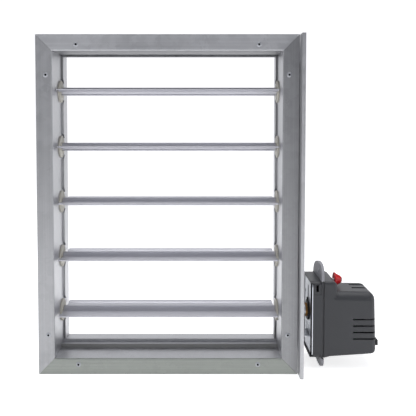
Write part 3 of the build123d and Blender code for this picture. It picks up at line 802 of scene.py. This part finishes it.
def thicken(strip, low):
    """Thicken the strip towards the inside of its folds."""
    riser = [face for face in strip.data.polygons
             if abs(face.normal.y) > ALONG and face.center.y < low.y + 10 * NEAR]
    towards = -1.0 if riser[0].normal.y < 0 else 1.0
    apply_modifier(strip, "SOLIDIFY", thickness=sizes().sill_sheet, offset=towards,
                   use_even_offset=True)


class DAMPER_OT_sill(bpy.types.Operator):
    """Fold the stepped sill from one strip and give its riser a dark grey strip as painted shade.
    """

    bl_idname = "damper.sill"
    bl_label = "Sill and seal"

    def execute(self, context):
        size = sizes()
        low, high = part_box("sill")
        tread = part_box("sill_seal")[1].z
        back = high.y - size.sill_sheet
        middle = ((low.x + high.x) / 2, low.y + size.sill_foot / 2, low.z)
        strip = sheet("sill_strip", middle, high.x - low.x, size.sill_foot)
        edit(strip)
        pick_edges(strip, lambda middle, along: abs(along.x) > ALONG and middle.y < low.y + NEAR)
        for move in (Z * (tread - low.z), Y * (back - low.y), Z * (high.z - tread)):
            extrude(move)
        pick_edges(strip, lambda middle, along: abs(along.x) > ALONG
                   and min(abs(middle.y - fold) for fold in (low.y, back)) < NEAR
                   and low.z - NEAR < middle.z < high.z - NEAR)
        bevel(size.fold, 4)
        bpy.ops.mesh.select_all(action="SELECT")
        bpy.ops.mesh.normals_make_consistent(inside=False)
        leave()
        thicken(strip, low)
        break_edges(strip, size.sheet_edge)
        tidy(strip)
        hand_over(strip, "frame", "galvanised", "sill", look="galvanised_across")
        # painted shade: the dark grey strip on the sill's riser stands for the shade there
        dressed("sill_seal", "riser_shade_strip", "frame", "seal_rubber", size.sheet_edge)
        return {"FINISHED"}


# ---- blades, shafts and bushes ----
def model_blade(low, high):
    """The spine as a bar, its wings drawn out and its ends open round the shaft."""
    size = sizes()
    centre = (low + high) / 2
    radius = (high.z - low.z) / 2
    tip = high.y - centre.y
    bore = (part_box("shaft_3")[1].y - centre.y) * 1.02
    blade = bar("blade_master", centre, X, radius, high.x - low.x)
    edit(blade)
    for side in (1.0, -1.0):
        draw_wing(blade, centre, radius, side, tip)
    for direction in (X, -X):
        pick_faces(blade, lambda middle, normal: normal.dot(direction) > SQUARE
                   and (middle - centre).yz.length < NEAR)
        end = centre + direction * (high.x - low.x) / 2
        draw_out(direction, end, radius, [(0.0, bore), (-size.bore_depth, bore)])
    pick_edges(blade, lambda middle, along: abs(along.x) > ALONG
               and abs(middle.y - centre.y) > tip - NEAR
               and abs(abs(middle.z - centre.z - size.joggle) - size.blade_half) < NEAR)
    bevel(size.blade_tip, 3)
    leave()
    return tidy(blade, smooth=24.0)


def draw_wing(blade, centre, radius, side, tip):
    """Draw one wing of the plate out of the spine, through its web and its joggle."""
    size = sizes()
    pick_faces(blade, lambda middle, normal: normal.y * side > 0.5
               and abs(middle.z - centre.z) < size.spine_web_half)
    half = size.blade_half
    ramp_end = tip - size.joggle_land
    at = radius
    for y, new_half, lift in ((radius + size.spine_web * 0.4, half * 2.0, 0.0),
                              (radius + size.spine_web, half, 0.0),
                              (ramp_end - size.joggle_ramp, half, 0.0),
                              (ramp_end, half, size.joggle),
                              (tip, half, 0.0)):
        extrude(Vector((0.0, side * (y - at), lift)))
        mesh = bmesh.from_edit_mesh(blade.data)
        low, high = span([vertex.co for vertex in mesh.verts if vertex.select])
        place = Vector(((low.x + high.x) / 2, centre.y + side * y, (low.z + high.z) / 2))
        resize((1.0, 0.0, new_half / ((high.z - low.z) / 2)), place)
        at = y


class DAMPER_OT_blades(bpy.types.Operator):
    """Model one blade from its tubular spine and copy it to the five shafts."""

    bl_idname = "damper.blades"
    bl_label = "Blades"

    def execute(self, context):
        low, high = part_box("blade_3")
        master = model_blade(low, high)
        for index, body in BLADES.items():
            node, shaft = "blade_%d" % index, "shaft_%d" % index
            blade = copy_to(master, node + "_profile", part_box(node)[0] - low)
            hand_over(blade, body, "blade_aluminium", node)
            dressed(shaft, shaft + "_bar", body, "plated_steel", sizes().shaft_edge)
        bpy.data.objects.remove(master)
        return {"FINISHED"}


def model_bush(name, low, high, axis):
    """A dished flange with a collar round the shaft, and the sleeve behind it."""
    size = sizes()
    radius = (high.z - low.z) / 2
    sleeve = radius * 8.0 / 19.0
    shaft_low, shaft_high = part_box("shaft_3")
    bore = (shaft_high.y - shaft_low.y) / 2 * 1.01
    centre = (low + high) / 2
    centre.x = (high.x if axis.x > 0 else low.x) - axis.x * size.bush_flange / 2
    rim = radius - size.bush_rim
    face = [(0.0, rim), (-size.bush_dish, rim - size.bush_dish), (0.0, size.bush_collar),
            (size.bush_dish, size.bush_collar - size.bush_dish * 0.8), (0.0, bore)]
    back = [(0.0, sleeve), (high.x - low.x - size.bush_flange, sleeve), (0.0, bore)]
    bush = turned(name, centre, axis, radius, size.bush_flange, face, back)
    edit(bush)
    pick(bush, "FACE", lambda face: abs(face.normal.x) > SQUARE and max(
        (vertex.co - centre).yz.length for vertex in face.verts) < bore * 1.2)
    bpy.ops.mesh.bridge_edge_loops()
    pick_edges(bush, lambda middle, along: abs(along.x) < 1e-3
               and abs((middle - centre).yz.length - radius) < 10 * NEAR)
    bevel(size.bush_edge, 4)
    leave()
    break_edges(bush, size.bush_break)
    return tidy(bush, smooth=30.0)


class DAMPER_OT_bushes(bpy.types.Operator):
    """Model one flanged bush for each wall and set five in a row."""

    bl_idname = "damper.bushes"
    bl_label = "Bushes"

    def execute(self, context):
        for side, axis in (("left", X), ("right", -X)):
            node = "bushes_" + side
            bushes = repeated(node, side + "_bushes", lambda *place: model_bush(*place, axis))[0]
            hand_over(bushes, "frame", "cream_nylon", node)
        return {"FINISHED"}


class DAMPER_OT_gears(bpy.types.Operator):
    """Finish the five meshing gears that turn the blades in opposite ways."""

    bl_idname = "damper.gears"
    bl_label = "Gear train"

    def execute(self, context):
        carried("gear_nylon", *("gear_%d" % index for index in BLADES))
        return {"FINISHED"}


# ---- the actuator ----
def cut_round_core(piece, low, high, core_low, core_high):
    """Cut a block out of a piece, but nothing where the block meets the core."""
    tool = slab("block", low, high)
    cut(tool, slab("core", core_low, core_high))
    cut(piece, tool)


def cross_edge(x, z):
    """A test for the edge that runs along Y through this place."""
    return lambda middle, along: (abs(along.y) > ALONG
                                  and math.hypot(middle.x - x, middle.z - z) < NEAR)


def cover_block(low, high, step):
    """The plain body: full height at the joint, lower beyond the shoulder."""
    size = sizes()
    cover = slab("actuator_cover_moulded", low, high)
    notch_low = (low.x + size.shoulder, low.y - CLEAR, step)
    cut(cover, slab("notch", notch_low, high + (X + Y + Z) * CLEAR))
    edit(cover)
    bend = low.x + size.shoulder * size.shoulder_bend
    bpy.ops.mesh.select_all(action="SELECT")
    bpy.ops.mesh.bisect(plane_co=(bend, 0.0, 0.0), plane_no=(1.0, 0.0, 0.0))
    for x, z, move in ((bend, low.z, Z * size.cover_rise * 0.35),
                       (high.x, low.z, Z * size.cover_rise),
                       (high.x, step, -X * size.cover_lean - Z * MM)):
        pick_edges(cover, cross_edge(x, z))
        shift(move)
    leave()
    return cover


def round_cover(cover, low, high, step):
    """Give each run of edges its own radius through bevel weights, in one bevel."""
    size = sizes()
    widest = 18.0 * MM
    far = high.x - CLEAR
    past = low.x + size.shoulder - NEAR
    half_way = (low.z + high.z) / 2
    peak = high.z - NEAR
    runs = (
        (8.0 * MM, lambda m, a: abs(a.z) > ALONG and m.x > far),
        (size.cover_top, lambda m, a: abs(a.x) > ALONG and m.z > step - CLEAR
         and m.x > past),
        (11.0 * MM, lambda m, a: abs(a.y) > ALONG and m.x > far and m.z > half_way),
        (8.0 * MM, lambda m, a: abs(a.y) > ALONG and m.x > far and m.z < half_way),
        (5.0 * MM, lambda m, a: abs(a.x) > ALONG and m.z < half_way),
        (10.0 * MM, lambda m, a: abs(a.y) > ALONG and m.z > peak and m.x > past),
        (6.0 * MM, lambda m, a: abs(a.z) > ALONG and past < m.x < far),
        (5.0 * MM, lambda m, a: abs(a.x) > ALONG and m.z > peak),
        (2.0 * MM, cross_edge(low.x + size.shoulder, step)),
    )
    edit(cover)
    for radius, test in runs:
        pick_edges(cover, test)
        bpy.ops.transform.edge_bevelweight(value=radius / widest)
    leave()
    apply_modifier(cover, "BEVEL", width=widest, segments=8, limit_method="WEIGHT",
                   use_clamp_overlap=False, miter_outer="MITER_SHARP")


def hollow(cover, low):
    """Open the side at the joint and give the shell its wall."""
    edit(cover)
    pick_faces(cover, lambda middle, normal: normal.x < -SQUARE and middle.x < low.x + NEAR)
    bpy.ops.mesh.delete(type="FACE")
    merge(0.02 * MM)
    leave()
    apply_modifier(cover, "SOLIDIFY", thickness=sizes().cover_wall, offset=-1.0)


def open_vents(cover, low, high, step):
    """Cut four vents in both sides, two slots in the top and the knob's hole."""
    size = sizes()
    hub_low, hub_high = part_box("act_hub")
    first = (hub_low.z + hub_high.z) / 2 - size.first_vent
    inside = high.x - 60 * MM
    for row in range(4):
        z = first - size.vent_step * row
        cut_round_core(
            cover, (high.x - size.vent_reach, low.y - CLEAR, z - size.vent_half),
            (high.x - 2 * MM, high.y + CLEAR, z + size.vent_half),
            (inside, low.y + CLEAR, z - CLEAR), (high.x + CLEAR, high.y - CLEAR, z + CLEAR))
    for y, end in ((-6.0 * MM, high.x + 2 * MM), (15.0 * MM, high.x - 6 * MM)):
        cut_round_core(
            cover, (high.x - size.top_slot_reach, y - size.top_slot_half, step - 11 * MM),
            (end, y + size.top_slot_half, step + 3 * MM),
            (inside, y - CLEAR, step - 20 * MM), (high.x - CLEAR, y + CLEAR, step - CLEAR))
    knob_low, knob_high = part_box("act_spindle")
    centre = (knob_low + knob_high) / 2
    centre.x = low.x + size.shoulder
    cut(cover, bar("hole", centre, X, size.knob_hole, 14 * MM))


class DAMPER_OT_actuator_cover(bpy.types.Operator):
    """Model the actuator's stepped, rounded cover with its vents and top slots."""

    bl_idname = "damper.actuator_cover"
    bl_label = "Actuator cover"

    def execute(self, context):
        size = sizes()
        low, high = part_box("act_cover")
        step = low.z + (high.z - low.z) * size.cover_step
        cover = cover_block(low, high, step)
        round_cover(cover, low, high, step)
        hollow(cover, low)
        open_vents(cover, low, high, step)
        break_edges(cover, size.moulded_edge * 0.5, 50.0)
        tidy(cover, smooth=30.0)
        hand_over(cover, "frame", "grey_plastic", "act_cover")
        return {"FINISHED"}


def model_latch(edge):
    """The latch, with a grip that runs across the cover's far face."""
    latch = node_copy("act_latch", "actuator_latch")
    low, high = corners(latch)
    cover_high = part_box("act_cover")[1]
    reach = cover_high.y - CLEAR
    face = cover_high.x - 1.5 * MM
    drop = low.z - sizes().grip_drop
    tongue = slab("tongue", (face, low.y + 0.5 * MM, drop + 3 * MM),
                  (high.x - 0.6 * MM, high.y - 0.5 * MM, high.z - 2 * MM))
    grip = slab("grip", (face, -reach, drop), (high.x - 0.1 * MM, reach, drop + high.z - low.z))
    for part in (tongue, grip):
        cut(latch, part, "UNION")
    break_edges(latch, edge)
    tidy(latch)
    hand_over(latch, "frame", "black_plastic", "act_latch")


def model_plate(edge):
    """The plate, carried forward over the base's front wall."""
    plate = node_copy("act_plate", "actuator_plate")
    low = corners(plate)[0]
    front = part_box("act_base")[0].y + 0.3 * MM
    edit(plate)
    pick_faces(plate, lambda middle, normal: normal.y < -ALONG and middle.y < low.y + NEAR)
    shift((0.0, front - low.y, 0.0))
    pick_edges(plate, lambda middle, along: abs(along.x) > ALONG and middle.y < front + NEAR)
    bevel(sizes().plate_corner, 5)
    leave()
    break_edges(plate, edge)
    shade_flat_faces(plate)
    hand_over(plate, "frame", "zinc_plate", "act_plate")


def model_base(edge):
    """The base: a groove at the joint, its rim cut away in front, a pad and round edges."""
    size = sizes()
    base = node_copy("act_base", "actuator_base_moulded")
    low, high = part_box("act_cover")
    plate_low, plate_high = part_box("act_plate")
    base_low, base_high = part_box("act_base")
    out = (Y + Z) * 0.5 * MM
    deep = (Y + Z) * size.groove_depth
    joint = Vector((base_high.x - size.groove, low.y, low.z))
    behind = Vector((base_high.x + 0.1 * MM, high.y, high.z))
    cut_round_core(base, joint - out, behind + out, joint + deep - X * CLEAR,
                   behind - deep + X * CLEAR)
    outside = base_low.y - 1 * MM
    cut(base, slab("rim", (base_low.x - 1 * MM, outside, plate_low.z),
                   (plate_high.x, plate_low.y + 0.2 * MM, plate_high.z)))
    cut(base, slab("pad", (base_low.x + 6.5 * MM, outside, high.z - 22.0 * MM),
                   (base_high.x - 4.5 * MM, base_low.y + size.pad_depth,
                    high.z - 3.5 * MM)))
    for across in (-1.0, 1.0):
        for up in (-1.0, 1.0):
            round_corner(base, across, up, low, high)
    break_edges(base, edge)
    shade_flat_faces(base)
    hand_over(base, "frame", "grey_plastic", "act_base")
    ear = 1.5 * MM
    # the ears are given a lighter grey than the rest of the base
    second_finish(base, "ear_lighter_grey",
                  lambda middle, normal: not low.z - ear <= middle.z <= high.z + ear)


def round_corner(base, across, up, low, high):
    """Round one of the base's long edges, short of its flange at the joint."""
    radius = sizes().base_round
    base_low, base_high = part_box("act_base")
    outward = Vector((0.0, across, up))
    corner = Vector((base_low.x - 1 * MM, high.y if across > 0 else low.y,
                     high.z if up > 0 else low.z))
    centre = corner - outward * radius
    far = corner + outward * 2 * MM
    far.x = base_high.x - 5.2 * MM
    tool = slab("corner", *span((centre, far)))
    cut(tool, bar("core", centre + X * 10 * MM, X, radius, 60 * MM))
    cut(base, tool)


class DAMPER_OT_actuator_housing(bpy.types.Operator):
    """Dress the actuator's base, latch, plate and strap."""

    bl_idname = "damper.actuator_housing"
    bl_label = "Actuator housing"

    def execute(self, context):
        size = sizes()
        model_base(size.moulded_edge * 0.7)
        model_latch(size.moulded_edge * 0.3)
        model_plate(size.sheet_edge)
        dressed("anti_rotation_bracket", "anti_rotation_strap", "frame", "zinc_plate",
                size.fine_edge)
        return {"FINISHED"}


class DAMPER_OT_actuator_drive(bpy.types.Operator):
    """Finish the hub, ring, indicator and what turns inside the actuator."""

    bl_idname = "damper.actuator_drive"
    bl_label = "Actuator drive"

    def execute(self, context):
        size = sizes()
        for node, name, slot, edge in (
                ("act_hub", "drive_hub", "zinc_plate", size.turned_edge),
                ("act_bush", "hub_ring", "bronze", size.turned_edge),
                ("act_indicator", "position_indicator", "black_plastic", size.fine_edge)):
            dressed(node, name, "drive_blade", slot, edge)
        carried("gear_nylon", "act_gear")
        carried("bronze", "act_pinion")
        carried("board", "act_board")
        carried("zinc_plate", "act_motor", "act_board_posts", "act_spindle")
        return {"FINISHED"}


def knob_wing(low, high, radius):
    """A blade across the knob that narrows to its outer end."""
    middle = (low + high) / 2
    half = (Y * 0.19 + Z * 0.985) * radius
    first = middle - half
    last = middle + half
    first.x = low.x + radius * 0.16
    last.x = high.x
    wing = slab("wing", first, last)
    edit(wing)
    pick_faces(wing, end_face(X))
    resize((1.0, 0.8, 0.36), Vector((high.x, middle.y, middle.z)))
    pick_edges(wing, lambda mid, along: mid.x > high.x - NEAR and abs(along.y) > ALONG)
    bevel(sizes().wing_round, 5)
    leave()
    return wing


class DAMPER_OT_knob(bpy.types.Operator):
    """Model the red release knob: a bevelled disc, a taper and two finger wings."""

    bl_idname = "damper.knob"
    bl_label = "Release knob"

    def execute(self, context):
        low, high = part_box("act_knob")
        radius = (high.z - low.z) / 2
        long = high.x - low.x
        disc = long * 0.2
        centre = (low + high) / 2
        centre.x = low.x + disc / 2
        taper = [(0.0, radius * 0.86), (long * 0.06, radius * 0.80),
                 (long * 0.54, radius * 0.52), (long * 0.06, radius * 0.40)]
        knob = turned("release_knob_cap", centre, X, radius, disc, taper)
        cut(knob, knob_wing(low, high, radius), "UNION")
        break_edges(knob, sizes().knob_edge, 25.0, 3)
        tidy(knob)
        hand_over(knob, "release_knob", "red_plastic", "act_knob")
        return {"FINISHED"}


# ---- the stage ----
def ray(tree, question):
    """1 where the light path answers the question with yes, otherwise 0."""
    return Wire(tree, tree.nodes.new("ShaderNodeLightPath").outputs[question])


def lay_floor():
    """A floor that sweeps up into a backdrop; its sizes are in metres."""
    level = CAD_BOX[0][2] - 0.2 * MM
    wide, deep, ahead = 14.0, 9.0, 1.5
    backdrop, bend = 5.0, 1.5
    sweep = sheet("floor", (0.0, ahead, level), wide, deep)
    far = ahead + deep / 2 - 0.1
    edit(sweep)
    pick_edges(sweep, lambda middle, along: middle.y > far)
    extrude((0.0, 0.0, backdrop))
    pick_edges(sweep, lambda middle, along: middle.y > far and middle.z < level + 10 * MM)
    bevel(bend, 12)
    leave()
    activate(sweep)
    bpy.ops.object.shade_smooth()
    sweep.data.materials.append(studio_paper())


def studio_paper():
    """Paper that a camera and a mirror see as white, with the object's shadow kept."""
    made = Finish("studio_paper", colours().floor, {"Roughness": 0.9, "Specular IOR Level": 0.1})
    made.paint(made.tint(noise(made.place, 300.0, 3.0), 0.99, 1.01))
    seen, mirrored = ray(made.tree, "Is Camera Ray"), ray(made.tree, "Is Glossy Ray")
    glow = seen.node("ShaderNodeEmission", None,
                     {"Color": (1, 1, 1, 1), "Strength": seen * 0.75 + mirrored * 0.62})
    total = glow.node("ShaderNodeAddShader", None,
                      {0: Wire(made.tree, made.shader.outputs[0]), 1: glow})
    made.tree.links.new(total.socket, made.surface)
    return made.material


def softbox(name, place, target, size, power):
    lamp = bpy.data.lights.new(name, "AREA")
    lamp.shape = "SQUARE"
    lamp.size = size
    lamp.energy = power
    holder = placed(name, lamp)
    holder.location = place
    aim = Vector(target) - Vector(place)
    holder.rotation_euler = aim.to_track_quat("-Z", "Y").to_euler()


def light_world():
    """Grey light all round, white where the camera looks."""
    world = bpy.data.worlds.new("studio")
    bpy.context.scene.world = world
    tree, surface = empty_tree(world, "ShaderNodeOutputWorld")
    seen = ray(tree, "Is Camera Ray")
    tint = mixed(seen, (0.30, 0.305, 0.33, 1.0), (1.0, 1.0, 1.0, 1.0))
    sky = seen.node("ShaderNodeBackground", None, {"Color": tint, "Strength": 1.0})
    tree.links.new(sky.socket, surface)


def place_camera():
    lens = bpy.data.cameras.new("camera")
    lens.lens = 57.006
    lens.sensor_width = 36.0
    lens.shift_x = 0.02602
    lens.shift_y = -0.145
    holder = placed("camera", lens)
    holder.location = (0.04833, -1.1392, 0.14848)
    holder.rotation_euler = (math.pi / 2 - 0.04832, 0.0, 0.0)
    bpy.context.scene.camera = holder


class DAMPER_OT_stage(bpy.types.Operator):
    """Lay the pale floor and backdrop, hang the soft lights and place the camera."""

    bl_idname = "damper.stage"
    bl_label = "Stage"

    def execute(self, context):
        lay_floor()
        softbox("overhead", (0.0, 0.1, 2.0), (0.0, 0.0, 0.0), 1.8, 30.0)
        softbox("left_side", (-2.0, -0.9, 0.7), (0.0, 0.0, 0.0), 1.3, 7.0)
        softbox("right_side", (2.1, -0.8, 0.6), (0.1, 0.0, 0.0), 1.3, 8.0)
        light_world()
        place_camera()
        context.scene.view_settings.view_transform = "Standard"
        return {"FINISHED"}


# ---- the panel and registration ----
OPERATORS = (
    DAMPER_OT_finishes,
    DAMPER_OT_frame_members,
    DAMPER_OT_rivets,
    DAMPER_OT_screws,
    DAMPER_OT_sill,
    DAMPER_OT_blades,
    DAMPER_OT_bushes,
    DAMPER_OT_gears,
    DAMPER_OT_actuator_housing,
    DAMPER_OT_actuator_cover,
    DAMPER_OT_actuator_drive,
    DAMPER_OT_knob,
    DAMPER_OT_stage,
)


class DAMPER_PT_panel(bpy.types.Panel):
    """Lists the damper's steps in order, with its sizes and colours."""

    bl_idname = "DAMPER_PT_panel"
    bl_label = "Volume control damper"
    bl_space_type = "VIEW_3D"
    bl_region_type = "UI"
    bl_category = "Damper"

    def draw(self, context):
        layout = self.layout
        for step in OPERATORS:
            layout.operator(step.bl_idname)
        for group in (context.scene.damper_sizes, context.scene.damper_colours):
            column = layout.column()
            for key in group.__annotations__:
                column.prop(group, key, text=key.replace("_", " "))


CLASSES = (DamperSizes, DamperColours) + OPERATORS + (DAMPER_PT_panel,)


def register():
    for each in CLASSES:
        bpy.utils.register_class(each)
    bpy.types.Scene.damper_sizes = bpy.props.PointerProperty(type=DamperSizes)
    bpy.types.Scene.damper_colours = bpy.props.PointerProperty(type=DamperColours)


def unregister():
    del bpy.types.Scene.damper_colours
    del bpy.types.Scene.damper_sizes
    for each in reversed(CLASSES):
        bpy.utils.unregister_class(each)


def main():
    register()
    for step in OPERATORS:
        getattr(bpy.ops.damper, step.bl_idname.split(".")[1])()


if __name__ == "__main__":
    main()
